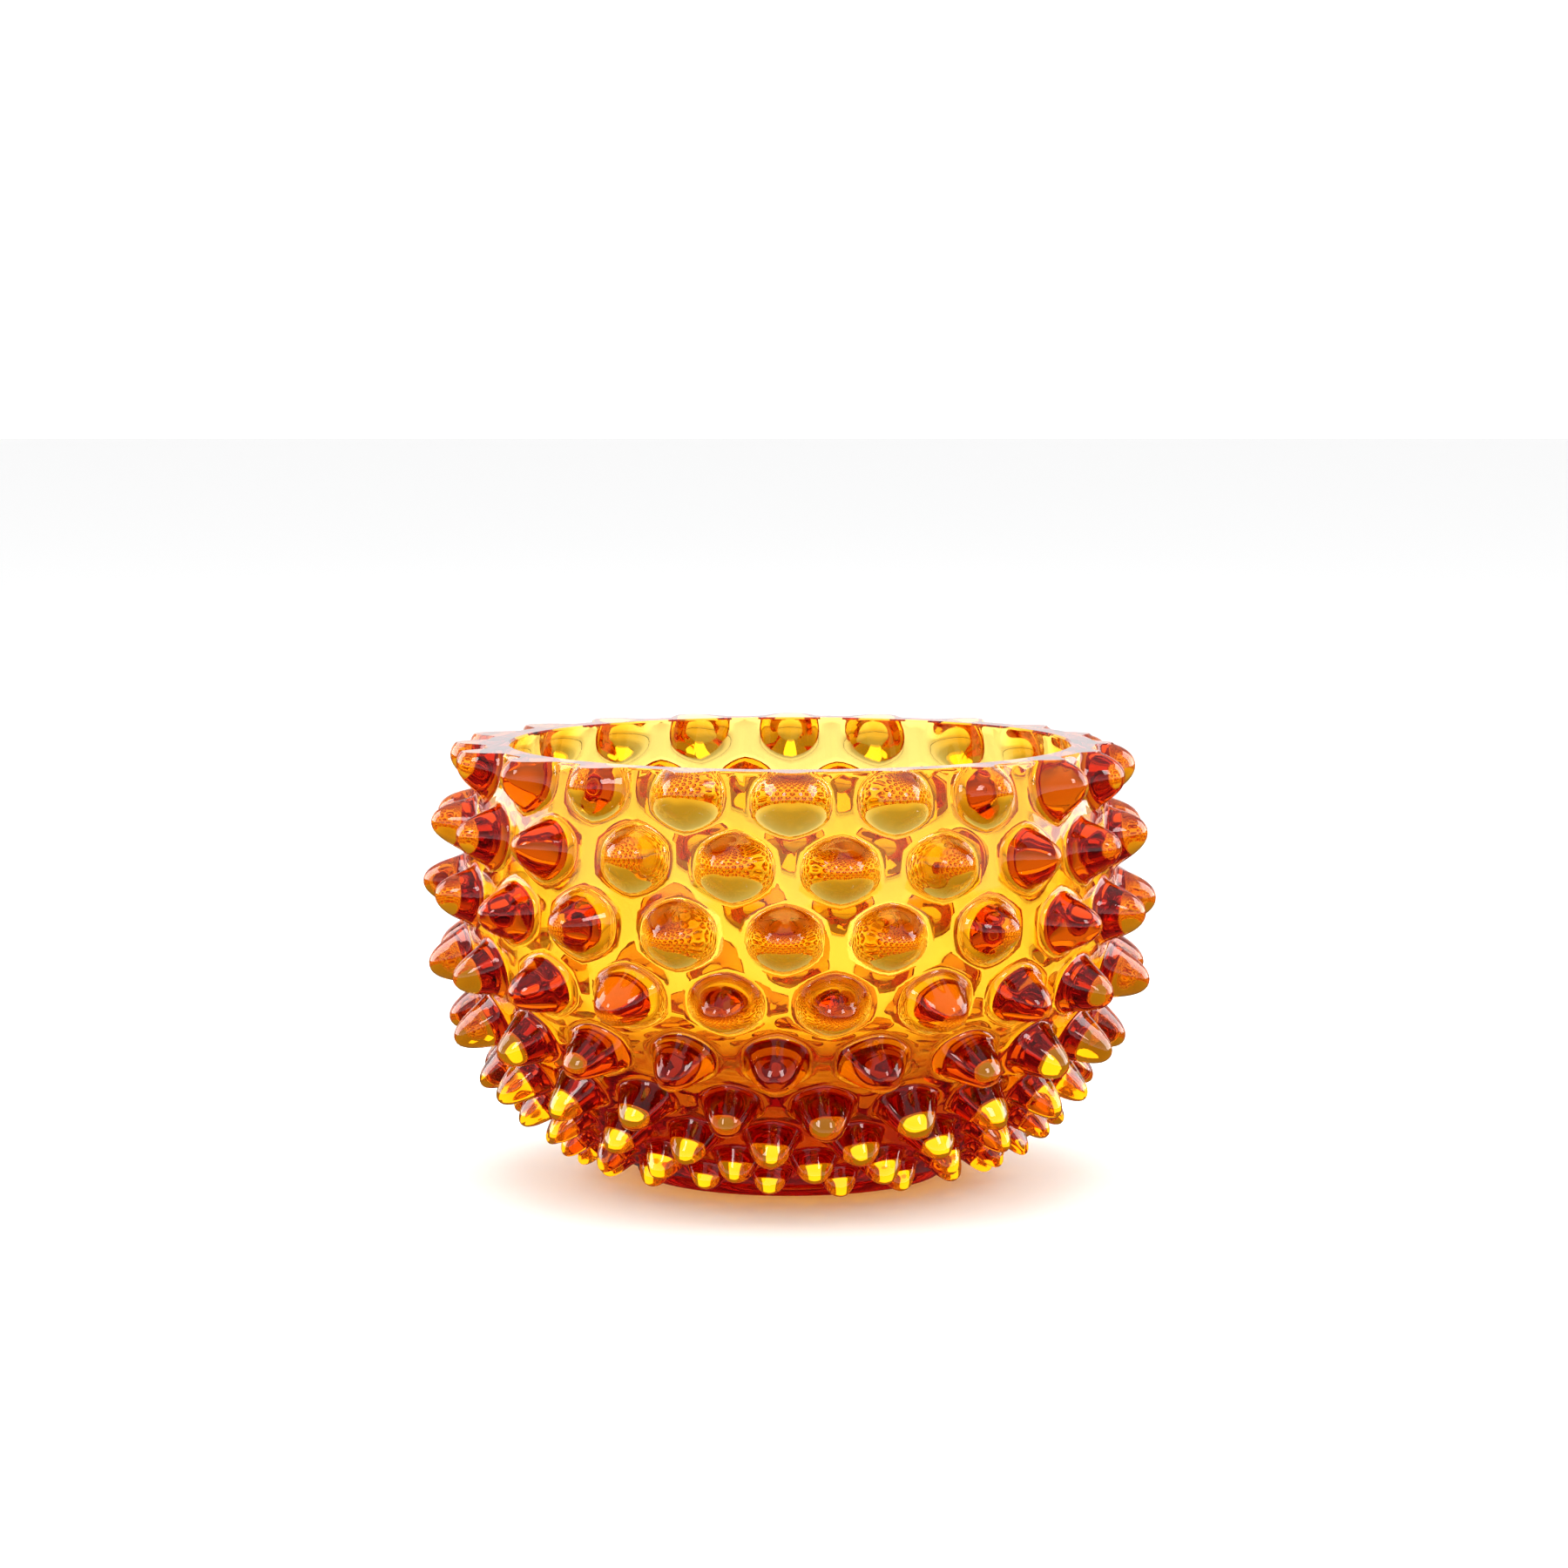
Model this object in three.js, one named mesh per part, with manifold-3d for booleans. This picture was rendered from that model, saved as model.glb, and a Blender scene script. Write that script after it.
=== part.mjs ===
// Hobnail art glass bowl: one piece of mould-blown amber glass, in millimetres, +Z up.
// The origin is the centre of the foot ring, which rests on z = 0. Angles run from -Y towards +X.
// A smooth thick-walled vessel carries nine staggered rings of blunt conical knobs (hobnails), each
// standing square to the wall. The rim is ground flat, and it cuts through the top ring of knobs.
import * as THREE from 'three';
import { mergeVertices } from 'three/addons/utils/BufferGeometryUtils.js';
import Module from 'manifold-3d';

// Driving dimensions.
const HEIGHT = 107;             // foot to ground rim
const RIM_RADIUS = 75.6;        // outside of the wall at the rim, between the knobs
const WALL_RADIUS = 80.8;       // outside of the wall at its widest
const WIDEST_Z = 67;
const FOOT_RADIUS = 38;
const FOOT_HEIGHT = 2.4;        // where the bowl's curve meets the foot
const FOOT_CHAMFER = 0.8;
const RECESS_RADIUS = 33;       // the foot stands on a ring, around a shallow domed recess
const RECESS_DEPTH = 3.2;
const RIM_THICKNESS = 6.3;
const WALL_THICKNESS = 6.6;     // at the widest ring, between the knobs
const FLOOR_Z = 13;             // top of the glass floor
const BLANK_RISE = 16;          // how far the uncut blank stands above the rim

const KNOBS_PER_RING = 20;
const KNOB_PITCH = 2 * Math.PI / KNOBS_PER_RING;
const FIRST_ANGLE = THREE.MathUtils.degToRad(0.8);
const RING_TWIST = THREE.MathUtils.degToRad(-0.6);      // each ring lags the one above a little
// The rim was ground a little askew: the rings lie lower at the right and the front, by these
// shares of the distance from the axis. The tilt dies out over the rings nearest the foot.
const TILT_RIGHT = 0.019;
const TILT_FRONT = 0.018;
const LEVEL_RINGS = 4;
// Each ring of knobs, from the rim down: how far its centres are from the rim along the wall, and
// half the width, half the height and the length of its knobs.
const RINGS = [
  { down: 5.4, halfWidth: 9.3, halfHeight: 8.2, length: 8.2 },
  { down: 21.0, halfWidth: 9.4, halfHeight: 8.3, length: 9.6 },
  { down: 37.4, halfWidth: 9.4, halfHeight: 8.3, length: 10.2 },
  { down: 53.6, halfWidth: 9.4, halfHeight: 8.1, length: 10.6 },
  { down: 69.1, halfWidth: 9.2, halfHeight: 7.6, length: 11.0 },
  { down: 82.5, halfWidth: 8.8, halfHeight: 6.4, length: 10.8 },
  { down: 92.9, halfWidth: 8.0, halfHeight: 5.3, length: 9.4 },
  { down: 101.9, halfWidth: 7.1, halfHeight: 4.4, length: 7.8 },
  { down: 109.2, halfWidth: 6.3, halfHeight: 3.7, length: 6.2 },
];
// A knob's outline from its base up: shares of the base's width and of the knob's length.
const KNOB_OUTLINE = [
  { width: 1, lift: 0 },
  { width: 0.83, lift: 0.18 },
  { width: 0.46, lift: 0.76 },
];

const CLOSING_STEP = 26;        // from the top ring up to the unseen row that closes the pattern

const KNOB_SIDES = 8;
const CAVITY_SIDES = 40;
const UPPER_CAVITY_STEPS = 3;
const LOWER_CAVITY_STEPS = 8;

// The outside of the wall, from the top of the blank down to the foot, as (radius, z).
const wallCurve = new THREE.CurvePath();
wallCurve.add(new THREE.LineCurve(
  new THREE.Vector2(RIM_RADIUS, HEIGHT + BLANK_RISE),
  new THREE.Vector2(RIM_RADIUS, HEIGHT)));
wallCurve.add(new THREE.CubicBezierCurve(
  new THREE.Vector2(RIM_RADIUS, HEIGHT),
  new THREE.Vector2(WALL_RADIUS - 1.5, WIDEST_Z + 24),
  new THREE.Vector2(WALL_RADIUS, WIDEST_Z + 14),
  new THREE.Vector2(WALL_RADIUS, WIDEST_Z)));
wallCurve.add(new THREE.CubicBezierCurve(
  new THREE.Vector2(WALL_RADIUS, WIDEST_Z),
  new THREE.Vector2(WALL_RADIUS, WIDEST_Z - 22.8),
  new THREE.Vector2(FOOT_RADIUS + 24.2, FOOT_HEIGHT + 8.7),
  new THREE.Vector2(FOOT_RADIUS, FOOT_HEIGHT)));
const WALL_LENGTH = wallCurve.getLength() - BLANK_RISE;

// The wall at a distance down from the rim, measured along it: its radius, z and outward normal.
function wallAt(down) {
  const share = (down + BLANK_RISE) / (WALL_LENGTH + BLANK_RISE);
  const place = wallCurve.getPoint(share);
  const tangent = wallCurve.getTangent(share);
  return { radius: place.x, z: place.y, normal: new THREE.Vector2(-tangent.y, tangent.x) };
}

const around = (angle, radius, z) =>
  new THREE.Vector3(radius * Math.sin(angle), -radius * Math.cos(angle), z);

// Where each knob stands: its angle and how far down the wall it is. Row 0 is above the rim and the
// last row is below the knobs: they have no knobs, and only close the pattern.
function knobCentres() {
  const downs = RINGS.map((ring) => ring.down);
  downs.unshift(downs[0] - CLOSING_STEP);
  downs.push(WALL_LENGTH + 1);
  return downs.map((down, row) => {
    const hasKnobs = row > 0 && row <= RINGS.length;
    const fade = Math.min(1, (RINGS.length + 1 - row) / LEVEL_RINGS);
    const reach = hasKnobs ? fade * wallAt(down).radius : 0;
    const stagger = row % 2 === 0 ? 0.5 : 0;
    return Array.from({ length: KNOBS_PER_RING }, (_, index) => {
      const angle = FIRST_ANGLE + (index + stagger) * KNOB_PITCH + row * RING_TWIST;
      const tilt = TILT_RIGHT * Math.sin(angle) + TILT_FRONT * Math.cos(angle);
      return { angle, down: down + reach * tilt };
    });
  });
}

// The knob of a row at an index that may run past either end of the row.
function knobAt(centres, row, index) {
  const wrapped = THREE.MathUtils.euclideanModulo(index, KNOBS_PER_RING);
  const { angle, down } = centres[row][wrapped];
  return {
    down,
    angle: angle + (index - wrapped) * KNOB_PITCH,
    key: row * KNOBS_PER_RING + wrapped,
  };
}

// The six neighbours of a knob, counter-clockwise seen from outside, starting on its right.
function neighbours(centres, row, index) {
  const shift = row % 2 === 0 ? 1 : 0;
  return [
    knobAt(centres, row, index + 1),
    knobAt(centres, row - 1, index + shift),
    knobAt(centres, row - 1, index + shift - 1),
    knobAt(centres, row, index - 1),
    knobAt(centres, row + 1, index + shift - 1),
    knobAt(centres, row + 1, index + shift),
  ];
}

const fullTurn = (angle) => THREE.MathUtils.euclideanModulo(angle, 2 * Math.PI);
const byTurn = (a, b) => a.turn - b.turn;

// The vertices and faces of one surface. A loop is a list of { at, turn }: a vertex and its angle
// around the loop, rising from 0 to a full turn.
class Skin {
  points = [];
  faces = [];

  add(point) {
    return this.points.push(point) - 1;
  }

  // Fills the band between two loops that turn the same way.
  zip(outer, inner) {
    const turnOf = (loop, n) => loop[n % loop.length].turn + (n < loop.length ? 0 : 2 * Math.PI);
    let i = 0;
    let j = 0;
    while (i < outer.length || j < inner.length) {
      const a = outer[i % outer.length].at;
      const b = inner[j % inner.length].at;
      const outerNext = j >= inner.length
        || (i < outer.length && turnOf(outer, i + 1) < turnOf(inner, j + 1));
      if (outerNext) {
        this.faces.push([a, outer[(i + 1) % outer.length].at, b]);
        i += 1;
      } else {
        this.faces.push([a, inner[(j + 1) % inner.length].at, b]);
        j += 1;
      }
    }
  }

  // Closes a loop with triangles that meet at one point.
  fan(loop, point) {
    const centre = this.add(point);
    loop.forEach(({ at }, n) => this.faces.push([at, loop[(n + 1) % loop.length].at, centre]));
  }

  geometry() {
    const made = new THREE.BufferGeometry();
    const positions = this.points.flatMap((point) => point.toArray());
    made.setAttribute('position', new THREE.Float32BufferAttribute(positions, 3));
    made.setIndex(this.faces.flat());
    return made;
  }
}

// One knob, and the web of wall from its base out to the corners of its cell.
function addKnob(skin, corners, ring, knob) {
  const { halfWidth, halfHeight, length } = ring;
  const foot = wallAt(knob.down);
  const axis = around(knob.angle, foot.normal.x, foot.normal.y);
  const loops = KNOB_OUTLINE.map(({ width, lift }) => Array.from({ length: KNOB_SIDES }, (_, n) => {
    const turn = (n + 0.5) / KNOB_SIDES * 2 * Math.PI;
    const place = wallAt(knob.down - width * halfHeight * Math.sin(turn));
    const angle = knob.angle + width * halfWidth * Math.cos(turn) / foot.radius;
    const point = around(angle, place.radius, place.z).addScaledVector(axis, lift * length);
    return { at: skin.add(point), turn };
  }));
  skin.zip(corners, loops[0]);
  loops.slice(1).forEach((upper, n) => skin.zip(loops[n], upper));
  skin.fan(loops.at(-1), around(knob.angle, foot.radius, foot.z).addScaledVector(axis, length));
}

// The blank before it is hollowed and its rim is cut: foot, wall and knobs, closed across the top.
function blankGeometry() {
  const centres = knobCentres();
  const skin = new Skin();
  const corners = new Map();
  const cornerOf = (...knobs) => {
    const key = knobs.map((knob) => knob.key).sort((a, b) => a - b).join();
    if (!corners.has(key)) {
      const angle = knobs.reduce((sum, knob) => sum + knob.angle, 0) / knobs.length;
      const down = knobs.reduce((sum, knob) => sum + knob.down, 0) / knobs.length;
      const place = wallAt(down);
      corners.set(key, { at: skin.add(around(angle, place.radius, place.z)), angle, down });
    }
    return corners.get(key);
  };
  const topEdge = new Map();
  const bottomEdge = new Map();
  RINGS.forEach((ring, n) => {
    const row = n + 1;
    for (let index = 0; index < KNOBS_PER_RING; index += 1) {
      const knob = knobAt(centres, row, index);
      const near = neighbours(centres, row, index);
      const cell = near.map((one, side) => cornerOf(knob, one, near[(side + 1) % near.length]));
      if (row === 1) cell.slice(0, 3).forEach((corner) => topEdge.set(corner.at, corner));
      if (row === RINGS.length) cell.slice(3).forEach((corner) => bottomEdge.set(corner.at, corner));
      const { radius } = wallAt(knob.down);
      const loop = cell.map((corner) => {
        const across = Math.asin(Math.sin(corner.angle - knob.angle)) * radius;
        return { at: corner.at, turn: fullTurn(Math.atan2(knob.down - corner.down, across)) };
      });
      addKnob(skin, loop.sort(byTurn), ring, knob);
    }
  });

  const edgeLoop = (edge) => [...edge.values()]
    .map(({ at, angle }) => ({ at, turn: fullTurn(angle) }))
    .sort(byTurn);
  const levelLoop = (like, radius, z) =>
    like.map(({ turn }) => ({ at: skin.add(around(turn, radius, z)), turn }));

  const top = edgeLoop(topEdge);
  const lid = levelLoop(top, RIM_RADIUS / 2, HEIGHT + BLANK_RISE);
  skin.zip(top, lid);
  skin.fan(lid, new THREE.Vector3(0, 0, HEIGHT + BLANK_RISE));

  const bottom = edgeLoop(bottomEdge);
  const heel = levelLoop(bottom, FOOT_RADIUS, FOOT_CHAMFER);
  const sole = levelLoop(bottom, FOOT_RADIUS - FOOT_CHAMFER, 0);
  skin.zip(heel, bottom);
  const recess = levelLoop(bottom, RECESS_RADIUS, 0);
  const dome = levelLoop(bottom, 0.8 * RECESS_RADIUS, 0.6 * RECESS_DEPTH);
  const crown = levelLoop(bottom, 0.4 * RECESS_RADIUS, 0.95 * RECESS_DEPTH);
  skin.zip(sole, heel);
  skin.zip(recess, sole);
  skin.zip(dome, recess);
  skin.zip(crown, dome);
  skin.fan(crown.toReversed(), new THREE.Vector3(0, 0, RECESS_DEPTH));
  return skin.geometry();
}

// The hollow, open past the rim, with a gently domed floor.
function cavityGeometry() {
  const rim = new THREE.Vector2(RIM_RADIUS - RIM_THICKNESS, HEIGHT);
  const widest = new THREE.Vector2(WALL_RADIUS - WALL_THICKNESS, WIDEST_Z);
  const lower = new THREE.CubicBezierCurve(
    new THREE.Vector2(0, FLOOR_Z),
    new THREE.Vector2(50, FLOOR_Z + 1),
    new THREE.Vector2(widest.x, WIDEST_Z - 31),
    widest);
  const upper = new THREE.CubicBezierCurve(
    widest,
    new THREE.Vector2(widest.x, WIDEST_Z + 14),
    new THREE.Vector2(widest.x - 1.5, WIDEST_Z + 24),
    rim);
  const outline = [
    ...lower.getSpacedPoints(LOWER_CAVITY_STEPS),
    ...upper.getSpacedPoints(UPPER_CAVITY_STEPS).slice(1),
    new THREE.Vector2(rim.x, HEIGHT + BLANK_RISE / 2),
    new THREE.Vector2(0, HEIGHT + BLANK_RISE / 2),
  ];
  return new THREE.LatheGeometry(outline, CAVITY_SIDES).rotateX(Math.PI / 2);
}

// Everything above the ground rim.
function rimCutGeometry() {
  const depth = 2 * BLANK_RISE;
  return new THREE.CylinderGeometry(2 * WALL_RADIUS, 2 * WALL_RADIUS, depth, 24)
    .rotateX(Math.PI / 2)
    .translate(0, 0, HEIGHT + depth / 2);
}

const wasm = await Module();
wasm.setup();

function solidOf(geometry) {
  const bare = geometry.clone();
  bare.deleteAttribute('normal');
  bare.deleteAttribute('uv');
  const merged = mergeVertices(bare, 1e-3);
  return new wasm.Manifold(new wasm.Mesh({
    numProp: 3,
    vertProperties: merged.attributes.position.array,
    triVerts: new Uint32Array(merged.index.array),
  }));
}

function geometryOf(solid) {
  const mesh = solid.getMesh();
  const made = new THREE.BufferGeometry();
  made.setAttribute('position', new THREE.BufferAttribute(mesh.vertProperties, 3));
  made.setIndex(new THREE.BufferAttribute(mesh.triVerts, 1));
  made.computeVertexNormals();
  return made;
}

function glassBowl() {
  const blank = solidOf(blankGeometry());
  const hollow = blank.subtract(solidOf(cavityGeometry()));
  const cut = hollow.subtract(solidOf(rimCutGeometry()));
  const amberGlass = new THREE.MeshStandardMaterial({
    color: 0xd98a12, roughness: 0.05, metalness: 0, transparent: true, opacity: 0.75,
  });
  const bowl = new THREE.Mesh(geometryOf(cut), amberGlass);
  bowl.name = 'glass_bowl';
  return bowl;
}

const part = new THREE.Group();
part.add(glassBowl());

export default part;
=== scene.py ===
from math import cos, pi, radians, sin

import bmesh
import bpy
import numpy as np
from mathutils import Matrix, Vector


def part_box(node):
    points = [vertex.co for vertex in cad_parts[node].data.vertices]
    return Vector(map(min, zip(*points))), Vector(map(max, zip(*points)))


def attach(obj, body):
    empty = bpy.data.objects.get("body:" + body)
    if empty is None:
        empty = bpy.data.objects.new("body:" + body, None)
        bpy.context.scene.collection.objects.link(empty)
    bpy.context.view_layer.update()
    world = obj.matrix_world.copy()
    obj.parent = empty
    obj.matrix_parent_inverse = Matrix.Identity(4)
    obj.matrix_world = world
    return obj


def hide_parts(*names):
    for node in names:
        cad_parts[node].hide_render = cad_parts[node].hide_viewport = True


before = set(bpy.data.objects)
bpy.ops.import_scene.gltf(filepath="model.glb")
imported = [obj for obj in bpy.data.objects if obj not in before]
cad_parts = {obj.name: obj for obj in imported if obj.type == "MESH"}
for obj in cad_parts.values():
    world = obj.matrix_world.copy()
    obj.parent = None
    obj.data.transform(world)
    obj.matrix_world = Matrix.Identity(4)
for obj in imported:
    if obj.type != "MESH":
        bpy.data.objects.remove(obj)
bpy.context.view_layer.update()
MM = 0.001

# ---------------------------------------------------------------- the bowl's dimensions, in mm

_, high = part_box("glass_bowl")
HEIGHT = high.z / MM
RIM_RADIUS = 75.6
WALL_RADIUS = 80.8          # at the widest place of the wall, between the knobs
WIDEST_Z = 67.0
FOOT_RADIUS = 38.0
FOOT_HEIGHT = 2.4
HEEL_ROUND = 1.0
RECESS_RADIUS = 33.0        # the foot stands on a ring, around a shallow domed recess
RECESS_DEPTH = 3.2
RECESS_CURVE = 0.6          # under 1, so the dome rises quickly inside the ring
RIM_THICKNESS = 6.3
WALL_THICKNESS = 6.6
FLOOR_Z = 13.0              # the lowest place inside
BLANK_RISE = 16.0           # how far the wall went on above the rim before it was ground off
RIM_BEVEL = 0.45

# Control points of the wall's curves. Over the widest place:
SHOULDER_IN = 1.5           # in from the widest radius, for the point nearer the rim
SHOULDER_HIGH = 24.0        # up from the widest place, for the point nearer the rim
SHOULDER_LOW = 14.0         # up from the widest place, for the other point
# and under it:
BELLY_OUTSIDE = 22.8        # down from the widest place, outside
BELLY_INSIDE = 31.0         # down from the widest place, inside
FOOT_FLARE_OUT = 24.2       # out from the foot's edge
FOOT_FLARE_UP = 8.7         # up from the foot's edge
FLOOR_REACH = 50.0          # out from the axis, inside
FLOOR_RISE = 1.0            # up from the lowest place, inside

# ---------------------------------------------------------------- the knobs' dimensions, in mm

KNOBS_PER_RING = 20
KNOB_PITCH = 2 * pi / KNOBS_PER_RING
FIRST_ANGLE = radians(0.8)
RING_TWIST = radians(-0.6)  # from each ring to the next, besides half a pitch
# The rim was ground a little askew: the rings lie lower at the right and the front, by these
# shares of the distance from the axis. The tilt dies out over the rings nearest the foot.
TILT_RIGHT = 0.019
TILT_FRONT = 0.018
LEVEL_RINGS = 4
CLOSING_STEP = 26.0         # from the top ring up to the unseen row that closes the pattern
# (distance down the wall, half width, half height, length) of each ring's knobs
RINGS = [
    (5.4, 9.8, 8.7, 8.2),
    (21.0, 9.8, 8.8, 9.6),
    (37.4, 9.8, 8.8, 10.2),
    (53.6, 9.8, 8.6, 10.6),
    (69.1, 9.6, 8.2, 11.0),
    (82.5, 9.3, 7.1, 10.8),
    (92.9, 8.5, 6.0, 9.4),
    (101.9, 7.6, 5.1, 7.8),
    (109.2, 6.8, 4.4, 6.2),
]
# A knob's outline, a Bezier curve from its base to its tip: shares of its half width and length.
KNOB_OUTLINE = [(1, 0), (0.74, 0), (0.62, 1), (0, 1)]
CELL_SHARE = 0.97           # the most of the way to the edge of its cell that a knob's base goes
CROWDING = 8                # the higher, the later and the more sharply a base gives way there
# How far knobs stray from the pattern, since no two are quite alike
WANDER_ANGLE = radians(0.9)
WANDER_DOWN = 0.5
WANDER_SIZE = 0.08
WANDER_LEAN = 0.06

# ---------------------------------------------------------------- how fine the mesh is

EDGE_STEPS = 5              # points along each side of a knob's six-sided cell
KNOB_LEVELS = 15
WEB_LEVELS = 2
CAVITY_SIDES = 144
CAVITY_LEVELS = 34
HEEL_STEPS = 6
RECESS_STEPS = 12
OUTLINE_SAMPLES = 600
WELD = 1e-3                 # joins the points that neighbouring cells share
CUT_WELD = 0.02             # removes the slivers that the rim's cut leaves
ON_CUT = 1e-4
SHARP_ANGLE = radians(38)


# ---------------------------------------------------------------- the wall's outline

def bezier(points, steps=np.linspace(0, 1, OUTLINE_SAMPLES)):
    """Points of a cubic Bezier curve at steps from 0 to 1."""
    t = steps[:, None]
    a, b, c, d = (np.array(p, float) for p in points)
    return (1 - t) ** 3 * a + 3 * (1 - t) ** 2 * t * b + 3 * (1 - t) * t ** 2 * c + t ** 3 * d


def shoulder(rim, widest):
    """The outline from the rim down to the widest place, on either side of the wall."""
    radius, z = widest
    return bezier([rim, (radius - SHOULDER_IN, z + SHOULDER_HIGH), (radius, z + SHOULDER_LOW), widest])


class Outline:
    """A curve of (radius, z) that can be read at any distance along it."""

    def __init__(self, samples, start=0.0):
        self.samples = samples
        steps = np.hypot(*np.diff(samples, axis=0).T)
        self.distance = start + np.concatenate([[0], np.cumsum(steps)])
        self.length = self.distance[-1]

    def at(self, distance):
        radius = np.interp(distance, self.distance, self.samples[:, 0])
        z = np.interp(distance, self.distance, self.samples[:, 1])
        return radius, z

    def normal(self, distance, reach=0.5):
        """Unit vector out of the wall, as (radial, z)."""
        r0, z0 = self.at(distance - reach)
        r1, z1 = self.at(distance + reach)
        normal = np.array([z0 - z1, r1 - r0])
        return normal / np.hypot(*normal)


def outside_of_wall():
    widest = (WALL_RADIUS, WIDEST_Z)
    foot = (FOOT_RADIUS, FOOT_HEIGHT)
    return Outline(np.vstack([
        [(RIM_RADIUS, HEIGHT + BLANK_RISE)],
        shoulder((RIM_RADIUS, HEIGHT), widest),
        bezier([widest, (WALL_RADIUS, WIDEST_Z - BELLY_OUTSIDE),
                (FOOT_RADIUS + FOOT_FLARE_OUT, FOOT_HEIGHT + FOOT_FLARE_UP), foot])[1:],
    ]), start=-BLANK_RISE)


def inside_of_wall():
    rim = (RIM_RADIUS - RIM_THICKNESS, HEIGHT - RIM_BEVEL)
    radius = WALL_RADIUS - WALL_THICKNESS
    widest = (radius, WIDEST_Z)
    return Outline(np.vstack([
        shoulder(rim, widest),
        bezier([widest, (radius, WIDEST_Z - BELLY_INSIDE),
                (FLOOR_REACH, FLOOR_Z + FLOOR_RISE), (0, FLOOR_Z)])[1:],
    ]))


wall = outside_of_wall()


def around(angle, radius, z):
    """Points in mm from angles, radii and heights."""
    return np.stack(np.broadcast_arrays(radius * np.sin(angle), -radius * np.cos(angle), z), axis=-1)


def on_wall(places):
    """Points in mm at (angle, down) places on the outside of the wall."""
    return around(places[:, 0], *wall.at(places[:, 1]))


# ---------------------------------------------------------------- the knobs' lattice

def wander(row, index, salt):
    """A steady number from -1 to 1 for each knob, a different one for each salt."""
    return sin(2.9 * row + 4.7 * index + salt) * cos(1.3 * row * salt + 0.7 * index)


def lattice():
    """Angle and distance down of each knob. The first and last rows only close the pattern."""
    downs = [ring[0] for ring in RINGS]
    downs = [downs[0] - CLOSING_STEP] + downs + [wall.length + 1]
    angles = np.zeros((len(downs), KNOBS_PER_RING))
    places = np.zeros_like(angles)
    for row, down in enumerate(downs):
        stagger = 0.5 if row % 2 == 0 else 0
        has_knobs = 0 < row <= len(RINGS)
        for index in range(KNOBS_PER_RING):
            angle = FIRST_ANGLE + (index + stagger) * KNOB_PITCH + row * RING_TWIST
            place = down
            if has_knobs:
                angle += WANDER_ANGLE * wander(row, index, 0.3)
                place += WANDER_DOWN * wander(row, index, 2.1)
                fade = min(1, (len(RINGS) + 1 - row) / LEVEL_RINGS)
                tilt = TILT_RIGHT * sin(angle) + TILT_FRONT * cos(angle)
                place += tilt * fade * wall.at(down)[0]
            angles[row, index] = angle
            places[row, index] = place
    return angles, places


knob_angles, knob_downs = lattice()


def knob_at(row, index):
    """(angle, down) of a knob whose index may run past either end of its row."""
    turns, wrapped = divmod(index, KNOBS_PER_RING)
    return np.array([knob_angles[row, wrapped] + turns * 2 * pi, knob_downs[row, wrapped]])


def neighbours(row, index):
    """(row, index) of the six knobs around a knob, counter-clockwise seen from outside."""
    shift = 1 if row % 2 == 0 else 0
    return [
        (row, index + 1),
        (row - 1, index + shift),
        (row - 1, index + shift - 1),
        (row, index - 1),
        (row + 1, index + shift - 1),
        (row + 1, index + shift),
    ]


def cell_edge(row, index):
    """(angle, down) of the points around a knob's cell, which the cells next to it share."""
    near = neighbours(row, index)
    here = knob_at(row, index)
    corners = [(here + knob_at(*near[n]) + knob_at(*near[(n + 1) % 6])) / 3 for n in range(6)]
    steps = np.arange(EDGE_STEPS)[:, None] / EDGE_STEPS
    return np.vstack([
        corners[n] + (corners[(n + 1) % 6] - corners[n]) * steps for n in range(6)
    ])


def knob_base(row, index, reach, heading):
    """How far the base goes in each heading, given how far off the edge of the cell is there.

    It is an ellipse, drawn in where it would crowd the knobs next to it.
    """
    _, half_width, half_height, _ = RINGS[row - 1]
    width = half_width * (1 + WANDER_SIZE * wander(row, index, 1.9))
    height = half_height * (1 + WANDER_SIZE * wander(row, index, 3.3))
    ellipse = 1 / np.hypot(heading[:, 0] / width, heading[:, 1] / height)
    return (ellipse ** -CROWDING + (CELL_SHARE * reach) ** -CROWDING) ** (-1 / CROWDING)


def knob_cell(row, index):
    """The points of one cell: rings from the cell's edge in to the knob's tip, and the tip."""
    centre = knob_at(row, index)
    radius, _ = wall.at(centre[1])
    offset = (cell_edge(row, index) - centre) * [radius, 1]
    reach = np.hypot(*offset.T)
    heading = offset / reach[:, None]
    base = knob_base(row, index, reach, heading)

    normal = wall.normal(centre[1])
    lean = WANDER_LEAN * np.array([wander(row, index, 4.4), wander(row, index, 5.2)])
    axis = around(centre[0] + lean[0], normal[0], normal[1] + lean[1])
    axis = axis / np.linalg.norm(axis)
    length = RINGS[row - 1][3] * (1 + WANDER_SIZE * wander(row, index, 6.1))

    def ring(distance):
        return on_wall(centre + heading * distance[:, None] / [radius, 1])

    rings = []
    for level in range(WEB_LEVELS):
        # the web of bare wall between the edge of the cell and the knob's base
        rings.append(ring(base + (reach - base) * (1 - level / WEB_LEVELS)))
    for share, lift in bezier(KNOB_OUTLINE, np.arange(KNOB_LEVELS) / KNOB_LEVELS):
        rings.append(ring(base * share) + axis * lift * length)
    tip = around(centre[0], *wall.at(centre[1])) + axis * length
    return rings, tip


# ---------------------------------------------------------------- mesh making

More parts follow.
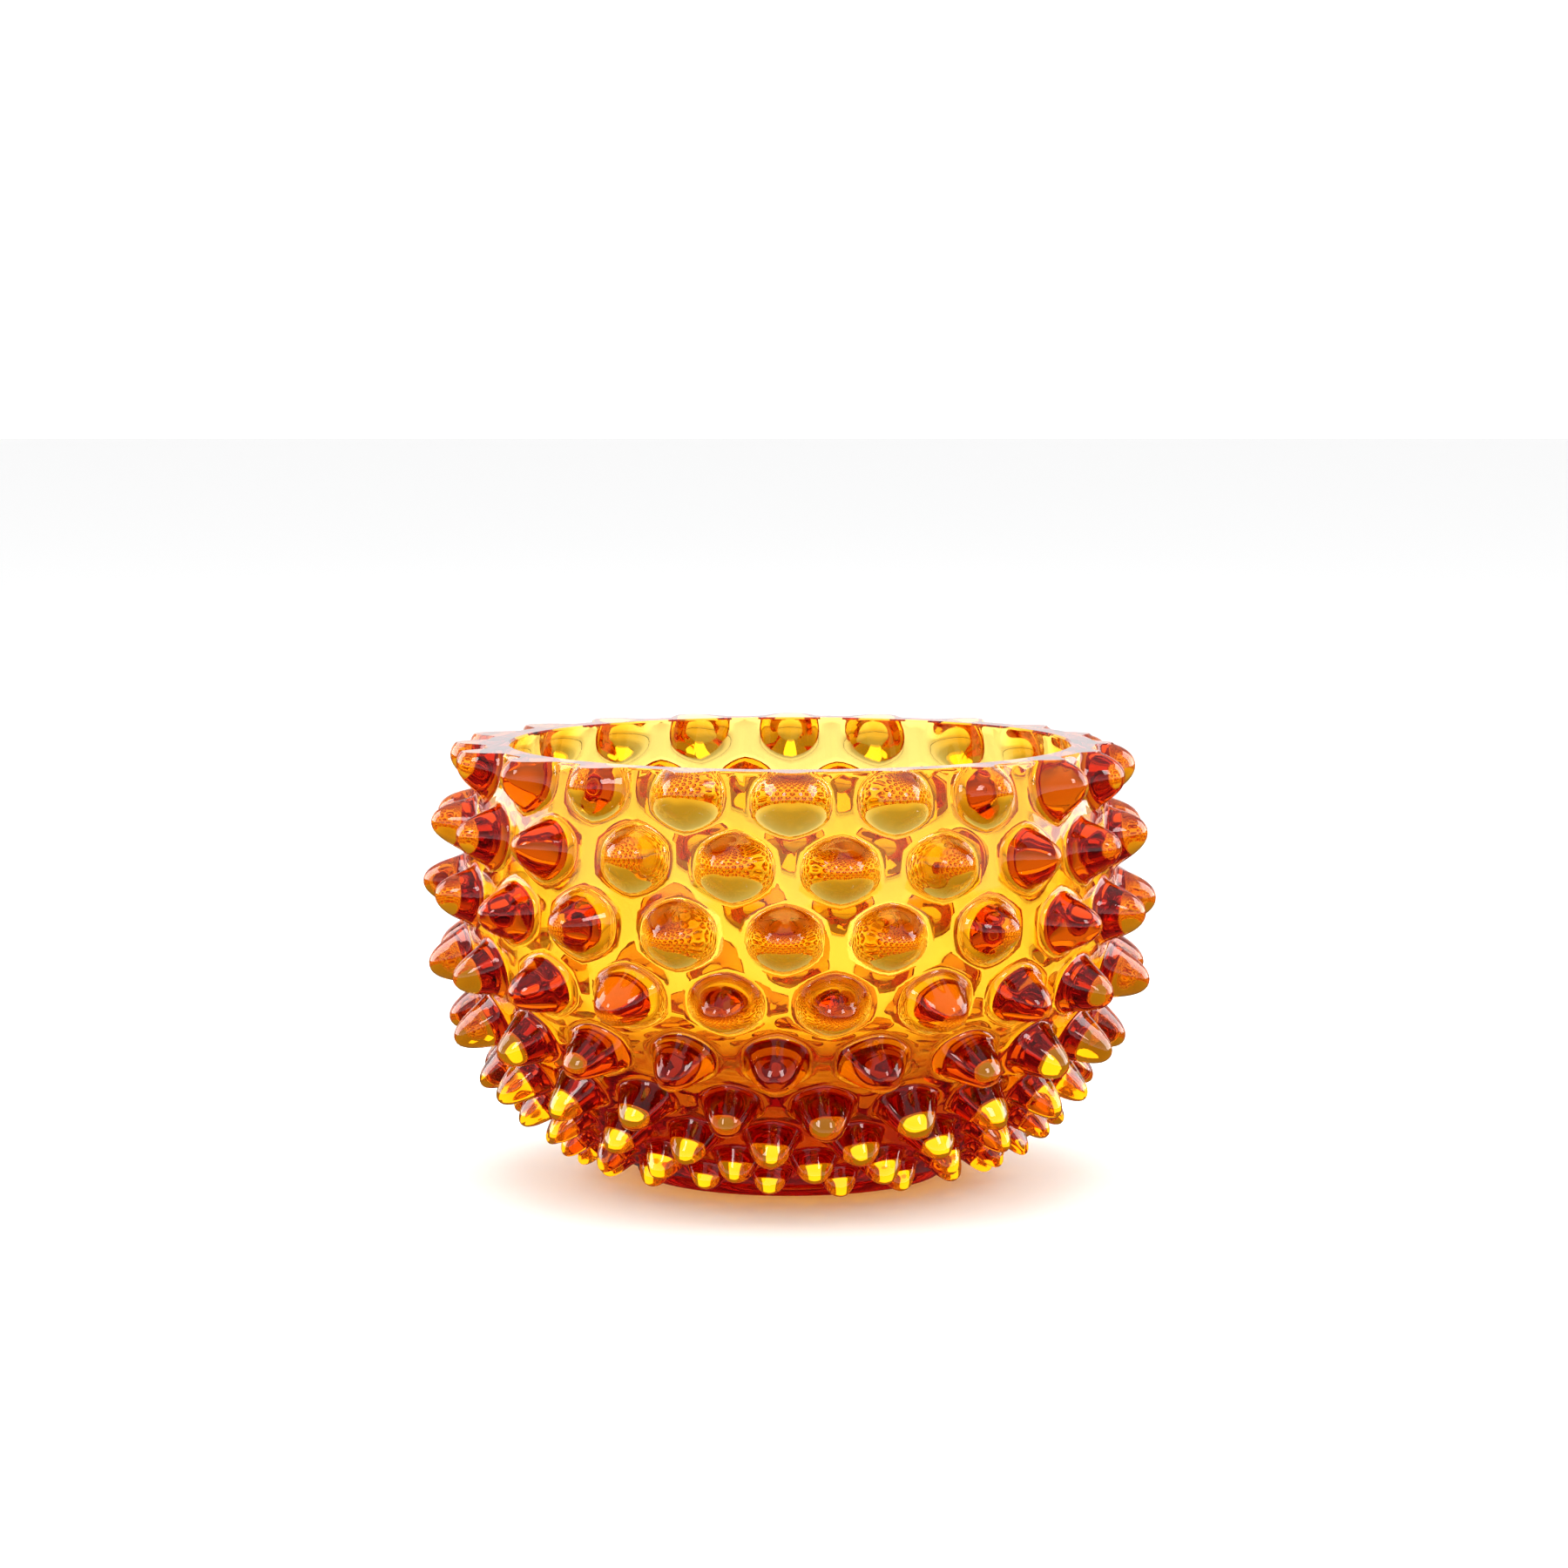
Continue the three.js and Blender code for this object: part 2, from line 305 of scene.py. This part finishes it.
class Skin:
    """The points (in mm) and faces of one surface. A loop is a list of point numbers."""

    def __init__(self, points=(), faces=()):
        self.points = list(points)
        self.faces = list(faces)

    def loop(self, points):
        start = len(self.points)
        self.points.extend(points)
        return list(range(start, start + len(points)))

    def band(self, outer, inner):
        """Quads between two loops of the same length."""
        count = len(outer)
        for n in range(count):
            m = (n + 1) % count
            self.faces.append((outer[n], outer[m], inner[m], inner[n]))

    def fan(self, loop, point):
        """Triangles from a loop to a point in its middle."""
        centre = self.loop([point])[0]
        count = len(loop)
        for n in range(count):
            self.faces.append((loop[n], loop[(n + 1) % count], centre))

    def by_angle(self, loop):
        """(angle, point number) pairs in order around the axis."""
        pairs = []
        for number in loop:
            x, y, _ = self.points[number]
            pairs.append((float(np.arctan2(x, -y) % (2 * pi)), number))
        return sorted(pairs)

    def stitch(self, lower, upper):
        """Triangles between two loops of different lengths, each given by_angle."""
        i = j = 0

        def turn(loop, n):
            return loop[n % len(loop)][0] + (0 if n < len(loop) else 2 * pi)

        while i < len(lower) or j < len(upper):
            a = lower[i % len(lower)][1]
            b = upper[j % len(upper)][1]
            upper_done = j >= len(upper)
            if upper_done or (i < len(lower) and turn(lower, i + 1) < turn(upper, j + 1)):
                self.faces.append((a, lower[(i + 1) % len(lower)][1], b))
                i += 1
            else:
                self.faces.append((a, upper[(j + 1) % len(upper)][1], b))
                j += 1

    def to_bmesh(self):
        mesh = bpy.data.meshes.new("work")
        mesh.from_pydata([tuple(point) for point in self.points], [], self.faces)
        work = bmesh.new()
        work.from_mesh(mesh)
        bpy.data.meshes.remove(mesh)
        return work


def knobbed_skin():
    """The knobbed outside, welded and cut level just under the rim, and its two open edges."""
    cells = Skin()
    for row in range(1, len(RINGS) + 1):
        for index in range(KNOBS_PER_RING):
            rings, tip = knob_cell(row, index)
            loops = [cells.loop(ring) for ring in rings]
            for outer, inner in zip(loops, loops[1:]):
                cells.band(outer, inner)
            cells.fan(loops[-1], tip)
    work = cells.to_bmesh()
    bmesh.ops.remove_doubles(work, verts=work.verts, dist=WELD)
    everything = work.verts[:] + work.edges[:] + work.faces[:]
    bmesh.ops.bisect_plane(
        work, geom=everything, dist=ON_CUT, plane_co=(0, 0, HEIGHT - RIM_BEVEL),
        plane_no=(0, 0, 1), clear_outer=True)
    bmesh.ops.remove_doubles(work, verts=work.verts, dist=CUT_WELD)
    work.verts.index_update()
    skin = Skin(
        [np.array(vert.co) for vert in work.verts],
        [tuple(vert.index for vert in face.verts) for face in work.faces])
    open_edges = [edge for edge in work.edges if len(edge.link_faces) == 1]
    open_points = {vert.index for edge in open_edges for vert in edge.verts}
    work.free()
    top = [number for number in open_points if skin.points[number][2] > HEIGHT / 2]
    bottom = [number for number in open_points if skin.points[number][2] < HEIGHT / 2]
    return skin, top, bottom


def circle(radius, z):
    """The points of a level circle, as fine as the cavity."""
    angles = np.arange(CAVITY_SIDES) * 2 * pi / CAVITY_SIDES
    return list(around(angles, np.full(CAVITY_SIDES, radius), np.full(CAVITY_SIDES, z)))


def add_rim_and_hollow(skin, top):
    """The ground rim with its two small bevels, and the smooth inside down to the floor."""
    outer = [number for _, number in skin.by_angle(top)]
    crest = []
    for number in outer:
        x, y, _ = skin.points[number]
        shrink = 1 - RIM_BEVEL / np.hypot(x, y)
        crest.append(np.array([x * shrink, y * shrink, HEIGHT]))
    crest = skin.loop(crest)
    skin.band(outer, crest)

    inside = inside_of_wall()
    inner_crest = skin.loop(circle(RIM_RADIUS - RIM_THICKNESS + RIM_BEVEL, HEIGHT))
    skin.stitch(skin.by_angle(crest), skin.by_angle(inner_crest))
    loops = [inner_crest]
    for level in range(CAVITY_LEVELS):
        radius, z = inside.at(inside.length * level / CAVITY_LEVELS)
        loops.append(skin.loop(circle(float(radius), float(z))))
    for upper, lower in zip(loops, loops[1:]):
        skin.band(upper, lower)
    skin.fan(loops[-1], np.array([0, 0, FLOOR_Z]))


def add_foot(skin, bottom):
    """The foot under the lowest knobs: a short wall, a rounded heel and a recessed underside."""
    outline = [(FOOT_RADIUS, HEEL_ROUND * 2)]
    for step in range(HEEL_STEPS + 1):
        turn = step / HEEL_STEPS * pi / 2
        outline.append((FOOT_RADIUS - HEEL_ROUND * (1 - cos(turn)), HEEL_ROUND * (1 - sin(turn))))
    for step in range(RECESS_STEPS):
        share = 1 - step / RECESS_STEPS
        outline.append((RECESS_RADIUS * share, RECESS_DEPTH * (1 - share ** 2) ** RECESS_CURVE))
    loops = [skin.loop(circle(radius, z)) for radius, z in outline]
    skin.stitch(skin.by_angle(loops[0]), skin.by_angle(bottom))
    for upper, lower in zip(loops, loops[1:]):
        skin.band(lower, upper)
    skin.fan(loops[-1][::-1], np.array([0, 0, RECESS_DEPTH]))


def glass_mesh():
    skin, top, bottom = knobbed_skin()
    add_rim_and_hollow(skin, top)
    add_foot(skin, bottom)
    work = skin.to_bmesh()
    bmesh.ops.recalc_face_normals(work, faces=work.faces)
    bmesh.ops.scale(work, vec=(MM, MM, MM), verts=work.verts)
    mesh = bpy.data.meshes.new("amber_glass_bowl")
    work.to_mesh(mesh)
    work.free()
    mesh.shade_smooth()
    mesh.set_sharp_from_angle(angle=SHARP_ANGLE)
    return mesh


# ---------------------------------------------------------------- materials

ABSORBED_PER_MM = (0.0115, 0.059, 0.27)     # red, green and blue
FLOOR_WHITE = 0.9


def node(tree, kind, **settings):
    """A new shader node, with its settings and the values of its inputs."""
    made = tree.nodes.new(kind)
    for name, value in settings.items():
        if name in made.inputs:
            made.inputs[name].default_value = value
        else:
            setattr(made, name, value)
    return made


def amber_glass():
    """Clear glass that takes its colour from its thickness: yellow where thin, red where deep."""
    material = bpy.data.materials.new("amber_glass")
    material.use_nodes = True
    tree = material.node_tree
    tree.nodes.clear()
    output = node(tree, "ShaderNodeOutputMaterial")
    glass = node(tree, "ShaderNodeBsdfPrincipled")
    glass.inputs["Base Color"].default_value = (1, 1, 1, 1)
    glass.inputs["Roughness"].default_value = 0.0
    glass.inputs["IOR"].default_value = 1.5
    glass.inputs["Transmission Weight"].default_value = 1.0
    tree.links.new(glass.outputs["BSDF"], output.inputs["Surface"])

    # the volume absorbs density * (1 - colour) per metre, so the density is a little over the most
    absorbed = [share / MM for share in ABSORBED_PER_MM]
    density = 1.05 * max(absorbed)
    volume = node(tree, "ShaderNodeVolumeAbsorption")
    volume.inputs["Color"].default_value = (*(1 - share / density for share in absorbed), 1)
    volume.inputs["Density"].default_value = density
    tree.links.new(volume.outputs["Volume"], output.inputs["Volume"])
    return material


def floor_material():
    material = bpy.data.materials.new("studio_floor")
    material.use_nodes = True
    surface = material.node_tree.nodes["Principled BSDF"]
    surface.inputs["Base Color"].default_value = (FLOOR_WHITE, FLOOR_WHITE, FLOOR_WHITE, 1)
    surface.inputs["Roughness"].default_value = 0.5
    return material


# ---------------------------------------------------------------- the bowl and the floor

FLOOR_HALF = 6.0
FLOOR_GAP = 0.0001          # keeps the floor's face off the foot's

scene = bpy.context.scene

bowl = bpy.data.objects.new("amber_glass_bowl", glass_mesh())
scene.collection.objects.link(bowl)
bowl.data.materials.append(amber_glass())
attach(bowl, "root")
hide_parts("glass_bowl")

floor_mesh = bpy.data.meshes.new("floor")
floor_mesh.from_pydata(
    [(x * FLOOR_HALF, y * FLOOR_HALF, 0) for x, y in ((-1, -1), (1, -1), (1, 1), (-1, 1))],
    [], [(0, 1, 2, 3)])
floor = bpy.data.objects.new("floor", floor_mesh)
floor.location.z = -FLOOR_GAP
floor_mesh.materials.append(floor_material())
scene.collection.objects.link(floor)
floor.visible_glossy = False

# ---------------------------------------------------------------- the room's light

# To the camera and the floor the room is plain white, bright enough to come out overexposed.
WHITE_TO_CAMERA = 1.5
WHITE_TO_FLOOR = 1.7
# (sine of the height angle, brightness) of the room, as it shows through the glass
ROOM_THROUGH_GLASS = [
    (-1.0, 0.05), (-0.01, 0.05), (0.0, 1.15), (0.12, 1.15), (0.3, 0.7), (0.6, 0.58), (1.0, 0.5),
]
# ... and as it is reflected in the glass
ROOM_REFLECTED = [(-1.0, 0.05), (-0.01, 0.05), (0.0, 1.15), (0.12, 1.1), (0.4, 0.35), (1.0, 0.6)]


def room_brightness(tree, height, brightness_by_height):
    """A background that is as bright as a list of (height, brightness) says."""
    ramp = node(tree, "ShaderNodeValToRGB")
    room = node(tree, "ShaderNodeBackground", Strength=1.0)
    stops = ramp.color_ramp.elements
    for _ in brightness_by_height[2:]:
        stops.new(1.0)
    for stop, (place, grey) in zip(stops, brightness_by_height):
        stop.position = (place + 1) / 2
        stop.color = (grey, grey, grey, 1)
    tree.links.new(height.outputs["Result"], ramp.inputs["Fac"])
    tree.links.new(ramp.outputs["Color"], room.inputs["Color"])
    return room


def mixed(tree, share, first, second):
    """The first shader where the share is 0, and the second where it is 1."""
    mix = node(tree, "ShaderNodeMixShader")
    tree.links.new(share, mix.inputs["Fac"])
    tree.links.new(first.outputs[0], mix.inputs[1])
    tree.links.new(second.outputs[0], mix.inputs[2])
    return mix


def studio_world():
    """A white room to the camera and the floor, and one with darker parts to the glass."""
    world = bpy.data.worlds.new("studio")
    world.use_nodes = True
    tree = world.node_tree
    tree.nodes.clear()
    direction = node(tree, "ShaderNodeTexCoord")
    split = node(tree, "ShaderNodeSeparateXYZ")
    height = node(tree, "ShaderNodeMapRange")
    height.inputs["From Min"].default_value = -1
    tree.links.new(direction.outputs["Generated"], split.inputs["Vector"])
    tree.links.new(split.outputs["Z"], height.inputs["Value"])
    ray = node(tree, "ShaderNodeLightPath")
    glassy = mixed(tree, ray.outputs["Is Transmission Ray"],
                   room_brightness(tree, height, ROOM_REFLECTED),
                   room_brightness(tree, height, ROOM_THROUGH_GLASS))

    white = node(tree, "ShaderNodeBackground")
    strength = node(tree, "ShaderNodeMath", operation="MULTIPLY_ADD")
    strength.inputs[1].default_value = WHITE_TO_CAMERA - WHITE_TO_FLOOR
    strength.inputs[2].default_value = WHITE_TO_FLOOR
    tree.links.new(ray.outputs["Is Camera Ray"], strength.inputs[0])
    tree.links.new(strength.outputs["Value"], white.inputs["Strength"])
    sees_white = node(tree, "ShaderNodeMath", operation="MAXIMUM", use_clamp=True)
    tree.links.new(ray.outputs["Is Camera Ray"], sees_white.inputs[0])
    tree.links.new(ray.outputs["Diffuse Depth"], sees_white.inputs[1])

    output = node(tree, "ShaderNodeOutputWorld")
    room = mixed(tree, sees_white.outputs["Value"], glassy, white)
    tree.links.new(room.outputs["Shader"], output.inputs["Surface"])
    return world


scene.world = studio_world()

# ---------------------------------------------------------------- lamps

AIM = Vector((0, 0, 0.055))     # the middle of the bowl


def softbox(name, place, size, radiance, unseen_by):
    """A rectangular lamp, aimed at the bowl. The camera and some kinds of ray don't see it."""
    lamp = bpy.data.lights.new(name, "AREA")
    lamp.shape = "RECTANGLE"
    lamp.size, lamp.size_y = size
    lamp.energy = radiance * pi * size[0] * size[1]
    box = bpy.data.objects.new(name, lamp)
    box.location = place
    box.rotation_euler = (Vector(place) - AIM).to_track_quat("Z", "Y").to_euler()
    box.visible_camera = False
    for kind in unseen_by:
        setattr(box, "visible_" + kind, False)
    scene.collection.objects.link(box)


softbox("top_softbox", place=(0, 0.1, 0.8), size=(0.8, 0.8), radiance=2.8, unseen_by=["glossy"])
for side, hand in (("left", -1), ("right", 1)):
    softbox(
        side + "_softbox", place=(hand * 1.15, 0.5, 0.55), size=(0.9, 1.0), radiance=4.5,
        unseen_by=["transmission"])
    # this one only gives the knobs at the front their small white highlights
    softbox(
        side + "_front_softbox", place=(hand * 0.9, -1.0, 0.9), size=(0.35, 0.5), radiance=9.0,
        unseen_by=["diffuse", "transmission"])

# ---------------------------------------------------------------- camera

CAMERA_DISTANCE = 1.2
CAMERA_HEIGHT = 0.2183
CAMERA_PITCH = radians(5.795)   # how far it looks down
CAMERA_YAW = radians(0.072)
CAMERA_LENS = 111.8             # mm, on a film 36 mm wide

camera_data = bpy.data.cameras.new("camera")
camera_data.sensor_width = 36
camera_data.lens = CAMERA_LENS
camera = bpy.data.objects.new("camera", camera_data)
camera.location = (0, -CAMERA_DISTANCE, CAMERA_HEIGHT)
camera.rotation_euler = (pi / 2 - CAMERA_PITCH, 0, CAMERA_YAW)
scene.collection.objects.link(camera)
scene.camera = camera

scene.view_settings.view_transform = "Standard"
# a line of sight passes through many faces of the knobs
scene.cycles.max_bounces = 32
scene.cycles.transmission_bounces = 32
scene.cycles.glossy_bounces = 12

bpy.context.view_layer.update()
